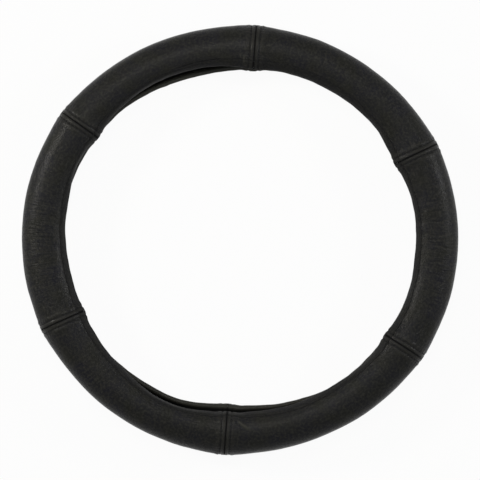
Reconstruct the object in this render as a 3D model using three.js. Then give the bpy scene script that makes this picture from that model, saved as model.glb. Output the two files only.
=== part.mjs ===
// A slip-on steering wheel cover. Six leather panels are sewn end to end and wrapped round a
// rubber ring whose section is a C, open towards the middle of the wheel.
// Millimetres, +Z up. The cover lies on its back face, the middle of the wheel is at the origin
// and the top of the wheel points to +Y.
// A bearing is read like a clock hand, in degrees from the top of the wheel, clockwise.
// A turn is the angle round the section, in degrees: 0 faces away from the wheel's middle,
// 90 is the front face, -90 is the back face that the cover lies on.

import * as THREE from "three";

// The ring as a whole
const RING_RADIUS = 173.6;
const OVAL_EXTRA = 2.1;
const OVAL_BEARING = 88;
const CORNER_EXTRA = 0.65;
const CORNER_BEARING = 60;
const GRIP_HALF_WIDTH = 19.5;
const GRIP_HALF_HEIGHT = 18.2;
const FOOT_HALF_TURN = 12;

// Layers of the wall, from the leather surface inwards
const LEATHER_THICKNESS = 1.1;
const RUBBER_THICKNESS = 1.6;
const LAYER_GAP = 0.4;

// The two lips of the C and the leather turned in round them
const FRONT_LIP_TURN = 164;
const BACK_LIP_TURN = 155;
const CURL_START = 102;
const SLIDE_BLEND = 10;
const HEM_STITCH_IN = 9.6;
const HEM_TURNED_IN = 12.5;

// The six seams, by bearing, and the relief of the leather beside each
const SEAM_BEARINGS = [4.4, 64.1, 123.2, 184.2, 245.5, 305.6];
const SEAM_GAP = 1.2;
const SEAM_RISE = 1.7;
const SEAM_LIP_RISE = 2.5;
const SEAM_FADE = 12;
const WELT_CREST = 2;
const TOP_STITCH_OFFSET = 4.2;
const WELT_SHOULDER = 6.4;
const EDGE_DROP = 0.9;
const TOP_STITCH_DENT = 1;
const HEM_DENT = 0.9;
const HEM_DENT_HALF_WIDTH = 1.1;

// Sewing threads
const TOP_THREAD_RADIUS = 0.4;
const HEM_THREAD_RADIUS = 0.4;
const SEAM_THREAD_RADIUS = 0.3;
const THREAD_SIDES = 3;
const THREAD_END_GAP = 1.6;

// How finely the curved faces are divided
const PANEL_INNER_STATIONS = 6;
const PANEL_END_BEARING = 6.5;
const OUTER_TURN_STEP = 26;
const INNER_TURN_STEP = 33;
const TIP_STEPS = 4;
const SAME = 0.01;

// Where the soft lips leave their even shape. The cover has taken a set from how it was packed.
// A slide moves a lip round the section, in degrees, so that in two places the mouth of the C
// faces forwards. A flattened lip has lost that share of its curl, and below 0 it curls tighter.
const FRONT_LIP_SLIDES = [
  { bearing: 348, spread: 50, turn: -17 },
  { bearing: 28, spread: 28, turn: -9 },
  { bearing: 312, spread: 22, turn: -5 },
  { bearing: 66, spread: 20, turn: 6 },
  { bearing: 125, spread: 22, turn: -7 },
  { bearing: 160, spread: 26, turn: -4 },
  { bearing: 204, spread: 26, turn: -12 },
  { bearing: 260, spread: 32, turn: 7.5 },
];
const BACK_LIP_SLIDES = [
  { bearing: 345, spread: 33, turn: 7 },
  { bearing: 181, spread: 34, turn: 13 },
  { bearing: 212, spread: 28, turn: 6 },
];
const FRONT_LIP_FLATTENING = [
  { bearing: 4, spread: 14, share: 0.2 },
  { bearing: 51, spread: 7, share: -0.1 },
  { bearing: 60, spread: 16, share: 0.2 },
  { bearing: 98, spread: 9, share: 0.1 },
  { bearing: 108, spread: 16, share: -0.16 },
  { bearing: 134, spread: 14, share: -0.18 },
  { bearing: 184, spread: 9, share: -0.25 },
  { bearing: 204, spread: 20, share: -0.6 },
  { bearing: 236, spread: 13, share: 0.1 },
  { bearing: 256, spread: 30, share: 0.24 },
  { bearing: 281, spread: 9, share: 0.1 },
  { bearing: 297, spread: 15, share: -0.33 },
  { bearing: 333, spread: 32, share: -0.56 },
];
const BACK_LIP_FLATTENING = [
  { bearing: 344, spread: 32, share: 0.38 },
  { bearing: 179, spread: 38, share: 0.62 },
  { bearing: 158, spread: 10, share: 0.14 },
  { bearing: 187, spread: 8, share: 0.15 },
  { bearing: 202, spread: 11, share: -0.14 },
  { bearing: 212, spread: 26, share: 0.22 },
];

// Where the outer face bulges, and by how much.
const OUTER_BULGES = [
  { bearing: 16, spread: 24, extra: 0.6 },
  { bearing: 108, spread: 22, extra: 0.9 },
  { bearing: 292, spread: 22, extra: 0.5 },
  { bearing: 157, spread: 16, extra: -1.2 },
  { bearing: 133, spread: 10, extra: 0.5 },
  { bearing: 172, spread: 14, extra: -0.45 },
  { bearing: 230, spread: 14, extra: -0.5 },
  { bearing: 357, spread: 10, extra: 0.5 },
  { bearing: 64, spread: 8, extra: -0.4 },
];

const WALL = LEATHER_THICKNESS + LAYER_GAP + RUBBER_THICKNESS + LAYER_GAP + LEATHER_THICKNESS;
const RUBBER_OUTSIDE = LEATHER_THICKNESS + LAYER_GAP;
const RUBBER_INSIDE = RUBBER_OUTSIDE + RUBBER_THICKNESS;
const HEM_OUTSIDE = RUBBER_INSIDE + LAYER_GAP;
const RADIANS = Math.PI / 180;
const TUBE_MIDDLE_HEIGHT = GRIP_HALF_HEIGHT * Math.cos(FOOT_HALF_TURN * RADIANS);

const LEATHER = { color: 0x242322, roughness: 0.62, metalness: 0 };
const RUBBER = { color: 0x161616, roughness: 0.85, metalness: 0 };
const THREAD = { color: 0x0d0d0e, roughness: 0.5, metalness: 0 };

const turnOf = (length) => length / GRIP_HALF_WIDTH / RADIANS;
const lerp = THREE.MathUtils.lerp;
const clamp = THREE.MathUtils.clamp;

// A smooth hump round one bearing, 1 at its middle and 0 past its spread.
function hump(bearing, middle, spread) {
  const away = Math.abs(THREE.MathUtils.euclideanModulo(bearing - middle + 180, 360) - 180);
  return away < spread ? (1 + Math.cos((Math.PI * away) / spread)) / 2 : 0;
}

function sumOf(places, bearing, key) {
  return places.reduce((sum, at) => sum + at[key] * hump(bearing, at.bearing, at.spread), 0);
}

// The packed ring has gone slightly oval, and slightly three-cornered.
function tubeRadius(bearing) {
  const oval = OVAL_EXTRA * Math.cos(2 * (bearing - OVAL_BEARING) * RADIANS);
  const corners = CORNER_EXTRA * Math.cos(3 * (bearing - CORNER_BEARING) * RADIANS);
  return RING_RADIUS + oval + corners;
}

// A slice is a bearing, and an offset along the ring from it, at which the section is drawn.
// Beside a seam the slices stay parallel to the seam, so that the welts keep their width.
function slice(bearing, offset, relief = 0) {
  const towards = bearing + offset / RING_RADIUS / RADIANS;
  const swell = Math.exp(-distanceToSeam(towards) / SEAM_FADE);
  return { bearing, offset, relief, towards, swell };
}

// How far the doubled leather of a seam lifts the skin, more so round the lips.
function riseOf(turn, at) {
  const lipTurn = turn > 0 ? FRONT_LIP_TURN : BACK_LIP_TURN;
  const alongLip = clamp((Math.abs(turn) - CURL_START) / (lipTurn - CURL_START), 0, 1);
  return at.swell * lerp(SEAM_RISE, SEAM_LIP_RISE, alongLip);
}

function distanceToSeam(bearing) {
  const away = SEAM_BEARINGS.map((seam) =>
    Math.abs(THREE.MathUtils.euclideanModulo(bearing - seam + 180, 360) - 180));
  return Math.min(...away) * RADIANS * RING_RADIUS;
}

// The rows of a welt, from the seam outwards: how far off the seam each lies, and its relief.
const WELT_ROWS = [
  [SEAM_GAP / 2, EDGE_DROP],
  [WELT_CREST, 0],
  [TOP_STITCH_OFFSET, TOP_STITCH_DENT],
  [WELT_SHOULDER, 0],
];

function weltSlices(seam, side) {
  const slices = WELT_ROWS.map(([offset, relief]) => slice(seam, side * offset, relief));
  return side > 0 ? slices : slices.reverse();
}

function middleSlices(first, second) {
  const start = first + PANEL_END_BEARING;
  const span = second - PANEL_END_BEARING - start;
  const slices = [];
  for (let i = 0; i < PANEL_INNER_STATIONS; i++) {
    slices.push(slice(start + (span * i) / (PANEL_INNER_STATIONS - 1), 0));
  }
  return slices;
}

function seamAfter(index) {
  const next = SEAM_BEARINGS[(index + 1) % SEAM_BEARINGS.length];
  return next > SEAM_BEARINGS[index] ? next : next + 360;
}

function panelSlices(index) {
  const first = SEAM_BEARINGS[index];
  const second = seamAfter(index);
  return [...weltSlices(first, 1), ...middleSlices(first, second), ...weltSlices(second, -1)];
}

// A place in the wall: the turn round the even section and the depth below its leather
// surface become a point of the real cover. The lips slide and flatten with the bearing,
// and nothing reaches below the face that the cover lies on.
function place(turn, depth, at, rise = 0) {
  const front = turn > 0;
  const slides = sumOf(front ? FRONT_LIP_SLIDES : BACK_LIP_SLIDES, at.towards, "turn");
  const flat = sumOf(front ? FRONT_LIP_FLATTENING : BACK_LIP_FLATTENING, at.towards, "share");
  const size = Math.abs(turn);
  const slid = size + slides * clamp((size - CURL_START) / turnOf(SLIDE_BLEND), 0, 1);
  const past = Math.max(0, slid - CURL_START);
  const curl = 1 - flat;
  const start = Math.min(slid, CURL_START) * RADIANS;
  const heading = start + curl * past * RADIANS;
  const across = Math.cos(start) + (Math.cos(heading) - Math.cos(start)) / curl;
  const up = Math.sin(start) + (Math.sin(heading) - Math.sin(start)) / curl;
  const out = rise - depth;
  const side = front ? 1 : -1;
  const bulge = across > 0 ? sumOf(OUTER_BULGES, at.towards, "extra") : 0;
  const halfWidth = GRIP_HALF_WIDTH + bulge;
  const radius = tubeRadius(at.towards) + halfWidth * across + out * Math.cos(heading);
  const height = TUBE_MIDDLE_HEIGHT + side * (GRIP_HALF_HEIGHT * up + out * Math.sin(heading));
  const angle = at.bearing * RADIANS;
  return new THREE.Vector3(
    radius * Math.sin(angle) + at.offset * Math.cos(angle),
    radius * Math.cos(angle) - at.offset * Math.sin(angle),
    Math.max(height, depth, 0),
  );
}

// The even section, drawn at its own size: x points away from the wheel's middle, y forwards.
function sectionPoint(turn, depth) {
  const radius = GRIP_HALF_WIDTH - depth;
  return new THREE.Vector2(radius * Math.cos(turn * RADIANS), radius * Math.sin(turn * RADIANS));
}

function turnAndDepth(x, y) {
  return [Math.atan2(y, x) / RADIANS, GRIP_HALF_WIDTH - Math.hypot(x, y)];
}

// Half of the panel's outline, from the middle of the outer face round the lip, inside the
// turned-in hem and back along the inner face, as turn and depth.
function leatherHalf(lipTurn) {
  const tipMiddle = lipTurn - turnOf(WALL / 2);
  const hemStitch = lipTurn - turnOf(HEM_STITCH_IN);
  const dent = turnOf(HEM_DENT_HALF_WIDTH);
  const hemEnd = lipTurn - turnOf(HEM_TURNED_IN);
  const pocket = lipTurn - turnOf(LEATHER_THICKNESS);
  const foot = 90 - FOOT_HALF_TURN;
  const outer = [];
  for (let turn = OUTER_TURN_STEP; turn < foot; turn += OUTER_TURN_STEP) {
    outer.push([turn, 0]);
  }
  outer.push([foot, 0], [180 - foot, 0], [lerp(180 - foot, hemStitch - dent, 0.5), 0]);
  outer.push([hemStitch - dent, 0], [hemStitch, HEM_DENT], [hemStitch + dent, 0]);
  const tip = [];
  for (let i = 0; i <= TIP_STEPS; i++) {
    const angle = (Math.PI * i) / TIP_STEPS;
    tip.push([tipMiddle + turnOf(WALL / 2) * Math.sin(angle), (WALL / 2) * (1 - Math.cos(angle))]);
  }
  const inner = [
    [hemEnd, WALL],
    [hemEnd, HEM_OUTSIDE],
    [pocket, HEM_OUTSIDE],
    [pocket, LEATHER_THICKNESS],
    ...rubberTurns(lipTurn).map((turn) => [turn, LEATHER_THICKNESS]),
  ];
  return { outer, tip, inner };
}

// The turns at which the two layers that lie on each other both have an edge.
function rubberTurns(lipTurn) {
  const turns = [lipTurn - turnOf(HEM_TURNED_IN)];
  const steps = Math.floor(turns[0] / INNER_TURN_STEP);
  for (let i = steps; i > 0; i--) {
    turns.push((turns[0] * i) / (steps + 1));
  }
  return turns;
}

function leatherShape() {
  const front = leatherHalf(FRONT_LIP_TURN);
  const back = leatherHalf(BACK_LIP_TURN);
  const mirrored = (points) => points.map(([turn, depth]) => [-turn, depth]).reverse();
  const outline = [
    [0, 0], ...front.outer, ...front.tip, ...front.inner, [0, LEATHER_THICKNESS],
    ...mirrored(back.inner), ...mirrored(back.tip), ...mirrored(back.outer),
  ];
  return new THREE.Shape(outline.map(([turn, depth]) => sectionPoint(turn, depth)));
}

function movePoints(geometry, mover) {
  const position = geometry.attributes.position;
  const point = new THREE.Vector3();
  for (let i = 0; i < position.count; i++) {
    point.fromBufferAttribute(position, i);
    const moved = mover(point);
    position.setXYZ(i, moved.x, moved.y, moved.z);
  }
  geometry.computeVertexNormals();
  return geometry;
}

// A straight bar of the leather section, one step for each slice, bent round the ring.
function panelGeometry(index) {
  const slices = panelSlices(index);
  const steps = slices.length - 1;
  const bar = new THREE.ExtrudeGeometry(leatherShape(), {
    steps, depth: steps, bevelEnabled: false,
  });
  return movePoints(bar, (point) => {
    const at = slices[Math.round(point.z)];
    const [turn, depth] = turnAndDepth(point.x, point.y);
    const skin = clamp(1 - depth / WALL, 0, 1);
    const share = isOnSkin(turn, depth) ? skin : 0;
    return place(turn, depth + share * at.relief, at, share * riseOf(turn, at));
  });
}

// Only the outer face and the tip of each lip rise at a seam. The faces against the rubber,
// and the turned-in hem, stay where the rubber needs them.
function isOnSkin(turn, depth) {
  const lipTurn = turn > 0 ? FRONT_LIP_TURN : BACK_LIP_TURN;
  const pocket = lipTurn - turnOf(LEATHER_THICKNESS);
  const pocketDepths = [LEATHER_THICKNESS, HEM_OUTSIDE];
  const inPocket = isSame(Math.abs(turn), pocket) && pocketDepths.some((at) => isSame(at, depth));
  const onTip = Math.abs(turn) > lipTurn - turnOf(WALL / 2) - SAME && !inPocket;
  return depth < LEATHER_THICKNESS - SAME || onTip;
}

function isSame(one, other) {
  return Math.abs(one - other) < SAME;
}

function named(name, geometry, finish) {
  const mesh = new THREE.Mesh(geometry, new THREE.MeshStandardMaterial(finish));
  mesh.name = name;
  return mesh;
}

// All slices round the ring, for the pieces that run right round it.
function ringSlices(pick) {
  return SEAM_BEARINGS.flatMap((seam, index) => pick(panelSlices(index)));
}

// A closed section swept right round: a lathe whose columns are then moved to the slices.
function ringGeometry(outline, slices, mover) {
  const closed = [...outline, outline[0]].map(([x, y]) => new THREE.Vector2(RING_RADIUS + x, y));
  const ring = new THREE.LatheGeometry(closed, slices.length);
  let index = 0;
  return movePoints(ring, () => {
    const column = Math.floor(index / closed.length) % slices.length;
    const row = (index % closed.length) % outline.length;
    index += 1;
    return mover(outline[row], slices[column]);
  });
}

function innerRing() {
  const half = (lipTurn) => {
    const tip = lipTurn - turnOf(LEATHER_THICKNESS + LAYER_GAP);
    return [tip, ...rubberTurns(lipTurn)];
  };
  const turns = [...half(FRONT_LIP_TURN), 0, ...half(BACK_LIP_TURN).map((turn) => -turn).reverse()];
  const outline = [
    ...turns.map((turn) => [turn, RUBBER_OUTSIDE]),
    ...turns.toReversed().map((turn) => [turn, RUBBER_INSIDE]),
  ];
  const inWelt = WELT_ROWS.length - 1;
  const slices = ringSlices((all) => all.slice(inWelt, -inWelt));
  const geometry = ringGeometry(outline, slices, ([turn, depth], at) => place(turn, depth, at));
  return named("inner_ring", geometry, RUBBER);
}

// A thread's section: across is along the surface, out is away from it.
function threadOutline(radius) {
  const points = [];
  for (let i = 0; i < THREAD_SIDES; i++) {
    const angle = (2 * Math.PI * (i + 0.5)) / THREAD_SIDES - Math.PI / 2;
    points.push([radius * Math.cos(angle), radius * Math.sin(angle)]);
  }
  return points;
}

function hemThread(name, side, lipTurn) {
  const turn = side * (lipTurn - turnOf(HEM_STITCH_IN));
  const outline = threadOutline(HEM_THREAD_RADIUS);
  const geometry = ringGeometry(outline, ringSlices((all) => all), ([across, out], at) =>
    place(turn + turnOf(across), -out, at, riseOf(turn, at)));
  return named(name, geometry, THREAD);
}

// A thread that crosses the ring beside or in a seam, from hem stitch to hem stitch.
function crossThread(name, seam, offset, radius, depth, isOnTop) {
  const reach = (lipTurn) => lipTurn - turnOf(HEM_STITCH_IN + THREAD_END_GAP);
  const turns = [];
  const front = leatherHalf(FRONT_LIP_TURN).outer.map(([turn]) => turn);
  const back = leatherHalf(BACK_LIP_TURN).outer.map(([turn]) => -turn);
  turns.push(-reach(BACK_LIP_TURN), ...back.filter((turn) => turn > -reach(BACK_LIP_TURN)).reverse());
  turns.push(0, ...front.filter((turn) => turn < reach(FRONT_LIP_TURN)), reach(FRONT_LIP_TURN));
  const shape = new THREE.Shape(threadOutline(radius).map(([x, y]) => new THREE.Vector2(x, y)));
  const steps = turns.length - 1;
  const bar = new THREE.ExtrudeGeometry(shape, { steps, depth: steps, bevelEnabled: false });
  const geometry = movePoints(bar, (point) => {
    const at = { ...slice(seam, offset), offset: offset + point.x };
    const turn = turns[Math.round(point.z)];
    return place(turn, depth - point.y, at, isOnTop ? riseOf(turn, at) : 0);
  });
  return named(name, geometry, THREAD);
}

function topThread(name, seam, side) {
  const offset = side * TOP_STITCH_OFFSET;
  const wall = Math.atan2(TOP_STITCH_DENT, TOP_STITCH_OFFSET - WELT_CREST);
  const clear = (TOP_THREAD_RADIUS + LAYER_GAP) / Math.cos(wall);
  return crossThread(name, seam, offset, TOP_THREAD_RADIUS, TOP_STITCH_DENT - clear, true);
}

const cover = new THREE.Group();
cover.add(innerRing());
cover.add(hemThread("hem_thread_front", 1, FRONT_LIP_TURN));
cover.add(hemThread("hem_thread_back", -1, BACK_LIP_TURN));
SEAM_BEARINGS.forEach((seam, index) => {
  const number = index + 1;
  cover.add(named(`leather_panel_${number}`, panelGeometry(index), LEATHER));
  cover.add(crossThread(`seam_thread_${number}`, seam, 0, SEAM_THREAD_RADIUS, LEATHER_THICKNESS / 2, false));
  cover.add(topThread(`top_thread_${number}_before`, seam, -1));
  cover.add(topThread(`top_thread_${number}_after`, seam, 1));
});

// The origin is under the middle of the cover's own box.
const middle = new THREE.Box3().setFromObject(cover).getCenter(new THREE.Vector3());
cover.position.set(-middle.x, -middle.y, 0);

export default cover;
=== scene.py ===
# %% [markdown]
# # A slip-on steering wheel cover
# The real cover is a ring of soft black leather. Six panels are sewn end to end, wrapped
# round a moulded rubber ring whose section is a C, and stitched to it along both lips.
# The solids of the CAD model come first. Each visible piece is then made again with the
# relief of real leather and thread, in exactly the same place.

# %% Load the solids
import math

import bpy
import numpy as np
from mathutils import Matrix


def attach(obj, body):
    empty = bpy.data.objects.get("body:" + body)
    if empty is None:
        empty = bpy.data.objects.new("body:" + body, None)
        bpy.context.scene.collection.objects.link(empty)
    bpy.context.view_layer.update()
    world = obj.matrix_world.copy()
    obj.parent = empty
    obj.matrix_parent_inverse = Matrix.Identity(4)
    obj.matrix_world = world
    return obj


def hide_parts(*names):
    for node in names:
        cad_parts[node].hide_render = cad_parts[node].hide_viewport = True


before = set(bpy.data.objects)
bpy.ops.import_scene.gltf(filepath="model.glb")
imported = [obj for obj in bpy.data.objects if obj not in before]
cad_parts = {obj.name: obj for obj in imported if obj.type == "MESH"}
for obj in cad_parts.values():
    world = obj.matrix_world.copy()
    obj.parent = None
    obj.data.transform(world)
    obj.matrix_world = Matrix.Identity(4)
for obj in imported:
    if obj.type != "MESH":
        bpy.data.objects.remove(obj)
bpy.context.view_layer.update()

# %% [markdown]
# ## The sizes of the cover
# These are the sizes of the CAD source, in millimetres. A bearing is read like a clock
# hand from the top of the wheel. A turn is the angle round the section: 0 looks away from
# the wheel's middle, 90 is the front, -90 is the back that the cover lies on. A maker
# would take the same few sizes from the wheel: its radius, and the thickness of its grip.

# %% Sizes in millimetres and degrees
RING_RADIUS = 173.6
OVAL_EXTRA, OVAL_BEARING = 2.1, 88
CORNER_EXTRA, CORNER_BEARING = 0.65, 60
GRIP_HALF_WIDTH, GRIP_HALF_HEIGHT = 19.5, 18.2
FOOT_HALF_TURN = 12
TUBE_MIDDLE_HEIGHT = GRIP_HALF_HEIGHT * math.cos(math.radians(FOOT_HALF_TURN))
LEATHER_THICKNESS, RUBBER_THICKNESS, CLEARANCE = 1.1, 1.6, 0.4
RUBBER_OUTSIDE = LEATHER_THICKNESS + CLEARANCE
RUBBER_INSIDE = RUBBER_OUTSIDE + RUBBER_THICKNESS
WALL = RUBBER_INSIDE + CLEARANCE + LEATHER_THICKNESS
FRONT_LIP_TURN, BACK_LIP_TURN = 164, 155
CURL_START, SLIDE_BLEND = 102, 10
HEM_STITCH_IN, HEM_TURNED_IN = 9.6, 12.5
SEAM_BEARINGS = [4.4, 64.1, 123.2, 184.2, 245.5, 305.6]
SEAM_RISE, SEAM_LIP_RISE, SEAM_FADE = 1.7, 2.5, 12
TOP_STITCH_OFFSET = 4.2
CENTRE_SHIFT = (-0.0234, 0.4139)
print("ring", RING_RADIUS, "mm, wall", WALL, "mm, seams at", SEAM_BEARINGS)

# %% Where the lips have left their even shape: (bearing, spread, amount)
FRONT_SLIDES = [(348, 50, -17), (28, 28, -9), (312, 22, -5), (66, 20, 6),
                (125, 22, -7), (160, 26, -4), (204, 26, -12), (260, 32, 7.5)]
BACK_SLIDES = [(345, 33, 7), (181, 34, 13), (212, 28, 6)]
FRONT_FLATTENING = [(4, 14, 0.2), (51, 7, -0.1), (60, 16, 0.2), (98, 9, 0.1), (108, 16, -0.16),
                    (134, 14, -0.18), (184, 9, -0.25), (204, 20, -0.6), (236, 13, 0.1),
                    (256, 30, 0.24), (281, 9, 0.1), (297, 15, -0.33), (333, 32, -0.56)]
BACK_FLATTENING = [(344, 32, 0.38), (179, 38, 0.62), (158, 10, 0.14), (187, 8, 0.15),
                   (202, 11, -0.14), (212, 26, 0.22)]
OUTER_BULGES = [(16, 24, 0.6), (108, 22, 0.9), (292, 22, 0.5), (157, 16, -1.2),
                (133, 10, 0.5), (172, 14, -0.45), (230, 14, -0.5), (357, 10, 0.5),
                (64, 8, -0.4)]


def turned_from(bearing, middle):
    """How far clockwise a bearing lies from another, from -180 to 180 degrees."""
    return (bearing - middle + 180) % 360 - 180


def hump_sum(places, bearing):
    """The sum of smooth humps round the ring, each given as (bearing, spread, amount)."""
    total = np.zeros_like(bearing)
    for middle, spread, amount in places:
        away = np.abs(turned_from(bearing, middle))
        total += amount * np.where(away < spread, (1 + np.cos(np.pi * away / spread)) / 2, 0)
    return total


print("front lip slides most by", hump_sum(FRONT_SLIDES, np.arange(360.0)).min(), "degrees")

# %% [markdown]
# ## From flat leather to the ring
# Every surface is first known as turn and depth in the section, and as a way along the
# ring. One function brings such a place onto the ring, with the curl of the lips in it,
# so leather, rubber and thread can't drift apart. Beside a seam the lines across the
# leather stay parallel to the seam, as the sewing foot leaves them, and further on they
# point to the middle of the wheel.

# %% The ring's radius, the seams and the section
def degrees_of(length):
    return np.degrees(length / GRIP_HALF_WIDTH)


def millimetres_of(turn):
    return np.radians(turn) * GRIP_HALF_WIDTH


def smooth_step(low, high, value):
    """0 at low, 1 at high and smooth between them. Low may be the greater one."""
    share = np.clip((value - low) / (high - low), 0, 1)
    return share * share * (3 - 2 * share)


def tube_radius(bearing):
    oval = OVAL_EXTRA * np.cos(2 * np.radians(bearing - OVAL_BEARING))
    corners = CORNER_EXTRA * np.cos(3 * np.radians(bearing - CORNER_BEARING))
    return RING_RADIUS + oval + corners


def nearest_seam(bearing):
    """The nearest seam's bearing, and the way from it in mm, clockwise."""
    seams = np.array(SEAM_BEARINGS)
    away = turned_from(bearing[:, None], seams[None, :])
    nearest = np.argmin(np.abs(away), axis=1)
    offset = np.radians(away[np.arange(len(bearing)), nearest]) * RING_RADIUS
    return seams[nearest], offset


def bearing_past(seam, way):
    """The bearing that lies way mm clockwise of a seam."""
    return seam + np.degrees(way / RING_RADIUS)


print("radius at the right:", float(tube_radius(np.array([90.0]))[0]))


# %% Bring a place in the section onto the ring
PARALLEL_UP_TO, RADIAL_FROM = 6.4, 19.7


def on_ring(turn, depth, bearing, rise=0.0):
    """turn, bearing in degrees and depth, rise in mm, as arrays: the points in metres."""
    front = turn > 0
    slides = np.where(front, hump_sum(FRONT_SLIDES, bearing), hump_sum(BACK_SLIDES, bearing))
    flat = np.where(front, hump_sum(FRONT_FLATTENING, bearing),
                    hump_sum(BACK_FLATTENING, bearing))
    size = np.abs(turn)
    slid = size + slides * np.clip((size - CURL_START) / degrees_of(SLIDE_BLEND), 0, 1)
    curl = 1 - flat
    start = np.radians(np.minimum(slid, CURL_START))
    heading = start + curl * np.radians(np.maximum(0, slid - CURL_START))
    across = np.cos(start) + (np.cos(heading) - np.cos(start)) / curl
    up = np.sin(start) + (np.sin(heading) - np.sin(start)) / curl
    out = rise - depth
    side = np.where(front, 1, -1)
    half_width = GRIP_HALF_WIDTH + np.where(across > 0, hump_sum(OUTER_BULGES, bearing), 0)
    radius = tube_radius(bearing) + half_width * across + out * np.cos(heading)
    height = TUBE_MIDDLE_HEIGHT + side * (GRIP_HALF_HEIGHT * up + out * np.sin(heading))
    height = np.maximum(height, np.maximum(depth, 0))
    return laid_out(radius, height, bearing)


def laid_out(radius, height, bearing):
    """Points in metres: parallel to the seam beside it, towards the middle further on."""
    seam, offset = nearest_seam(bearing)
    beside, ahead = np.radians(seam), np.radians(bearing)
    loose = smooth_step(PARALLEL_UP_TO, RADIAL_FROM, np.abs(offset))
    x = (radius * np.sin(beside) + offset * np.cos(beside)) * (1 - loose)
    y = (radius * np.cos(beside) - offset * np.sin(beside)) * (1 - loose)
    x += radius * np.sin(ahead) * loose + CENTRE_SHIFT[0]
    y += radius * np.cos(ahead) * loose + CENTRE_SHIFT[1]
    return np.column_stack([x, y, height]) / 1000


print("outermost point:", on_ring(np.zeros(1), np.zeros(1), np.array([90.0])))

# %% [markdown]
# ## Unevenness that is the same on every run
# Leather is never even. A small table of seeded numbers, read smoothly, gives soft
# hills and hollows of any size without storing a picture.

# %% Soft noise over a surface
NOISE_TABLE_SIZE = 128


def soft_noise(across, along, seed):
    """From -1 to 1. A hill is about one unit wide, so millimetres / 6 makes it 6 mm."""
    table = np.random.default_rng(seed).uniform(-1, 1, (NOISE_TABLE_SIZE, NOISE_TABLE_SIZE))
    x0, y0 = np.floor(across).astype(int), np.floor(along).astype(int)
    x, y = across - x0, along - y0
    x, y = x * x * (3 - 2 * x), y * y * (3 - 2 * y)

    def corner(right, up):
        return table[(x0 + right) % NOISE_TABLE_SIZE, (y0 + up) % NOISE_TABLE_SIZE]

    low = corner(0, 0) * (1 - x) + corner(1, 0) * x
    high = corner(0, 1) * (1 - x) + corner(1, 1) * x
    return low * (1 - y) + high * y


def groove(distance, half_width):
    """1 where the distance is 0, and soft towards both sides."""
    return np.exp(-(distance / half_width) ** 2)


print("noise at one place:", float(soft_noise(np.array([0.3]), np.array([0.7]), 3)[0]))

# %% [markdown]
# ## The relief of the leather
# At a seam the two panel ends are turned under, so the leather is twice as thick and
# stands up as a welt, more so round the lips where it is crowded. A row of top stitching
# pulls it down again beside the seam, and the leather puckers between stitch and stitch.
# A row along each lip does the same for the hem. The rest is only slightly uneven.

# %% Sizes of the sewing in mm
SEAM_HALF_GAP, SEAM_HALF_GAP_INSIDE = 0.006, 0.45
STITCH_PITCH = 3.8
ROW_HALF_WIDTH, ROW_DEPTH, HEM_ROW_DEPTH, HOLE_DEPTH = 0.75, 0.3, 0.36, 0.3
HOLE_SHARPNESS = 6


def lip_turn_of(turn):
    """The turn of the lip on the same side."""
    return np.where(turn > 0, FRONT_LIP_TURN, BACK_LIP_TURN)


def share_of_lip(turn):
    """0 up to where the curl starts, 1 at the lip."""
    return np.clip((np.abs(turn) - CURL_START) / (lip_turn_of(turn) - CURL_START), 0, 1)


def inwards_of(turn):
    """How many mm a turn lies in from its lip."""
    return millimetres_of(lip_turn_of(turn) - np.abs(turn))


def seam_rise(turn, away):
    """How far the doubled leather lifts the skin, away mm from the seam."""
    rise = SEAM_RISE + (SEAM_LIP_RISE - SEAM_RISE) * share_of_lip(turn)
    return np.exp(-away / SEAM_FADE) * rise


def stitch_hole(way):
    """1 at each hole of a row, way in mm along it."""
    return (0.5 + 0.5 * np.cos(2 * np.pi * way / STITCH_PITCH)) ** HOLE_SHARPNESS


print("rise at a seam:", seam_rise(np.array([0.0, 160.0]), np.zeros(2)), "mm")


# %% Relief beside the seams
EDGE_ROUNDING, EDGE_DROP, EDGE_FULLNESS = 1.1, 1.5, 0.98
FLATTER_OUTSIDE, OUTSIDE_HALF_TURN, FLATTER_AT_LIP = 0.75, 35, 0.95
WELT_AT, WELT_HALF_WIDTH, WELT_HEIGHT = 2.3, 0.9, 0.22
PAD_AT, PAD_HALF_WIDTH, PAD_HEIGHT, PAD_UNEVENNESS = 6.6, 1.7, 0.3, 0.2
PUCKER_START, PUCKER_FULL, PUCKER_FADE = 4.4, 5.6, 3.4
PUCKER_HEIGHT, PUCKER_WANDER = 0.16, 2.2
FOLD_START, FOLD_FULL, FOLD_FADE, FOLD_HEIGHT = 4.6, 8, 8, 0.3


def swelling(away, start, full, fade):
    """0 up to start, 1 at full, and dying away beyond it, all in mm."""
    return smooth_step(start, full, away) * np.exp(-np.maximum(away - full, 0) / fade)


def rounded_edge(turn, away):
    """How the turned-under end rounds down into the seam."""
    edge = np.clip((EDGE_ROUNDING + SEAM_HALF_GAP - away) / EDGE_ROUNDING, 0, 1)
    outside = 1 - FLATTER_OUTSIDE * groove(turn, OUTSIDE_HALF_TURN)
    drop = EDGE_DROP * outside * (1 - FLATTER_AT_LIP * share_of_lip(turn) ** 2)
    return -drop * (1 - np.sqrt(1 - EDGE_FULLNESS * edge ** 2))


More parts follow.
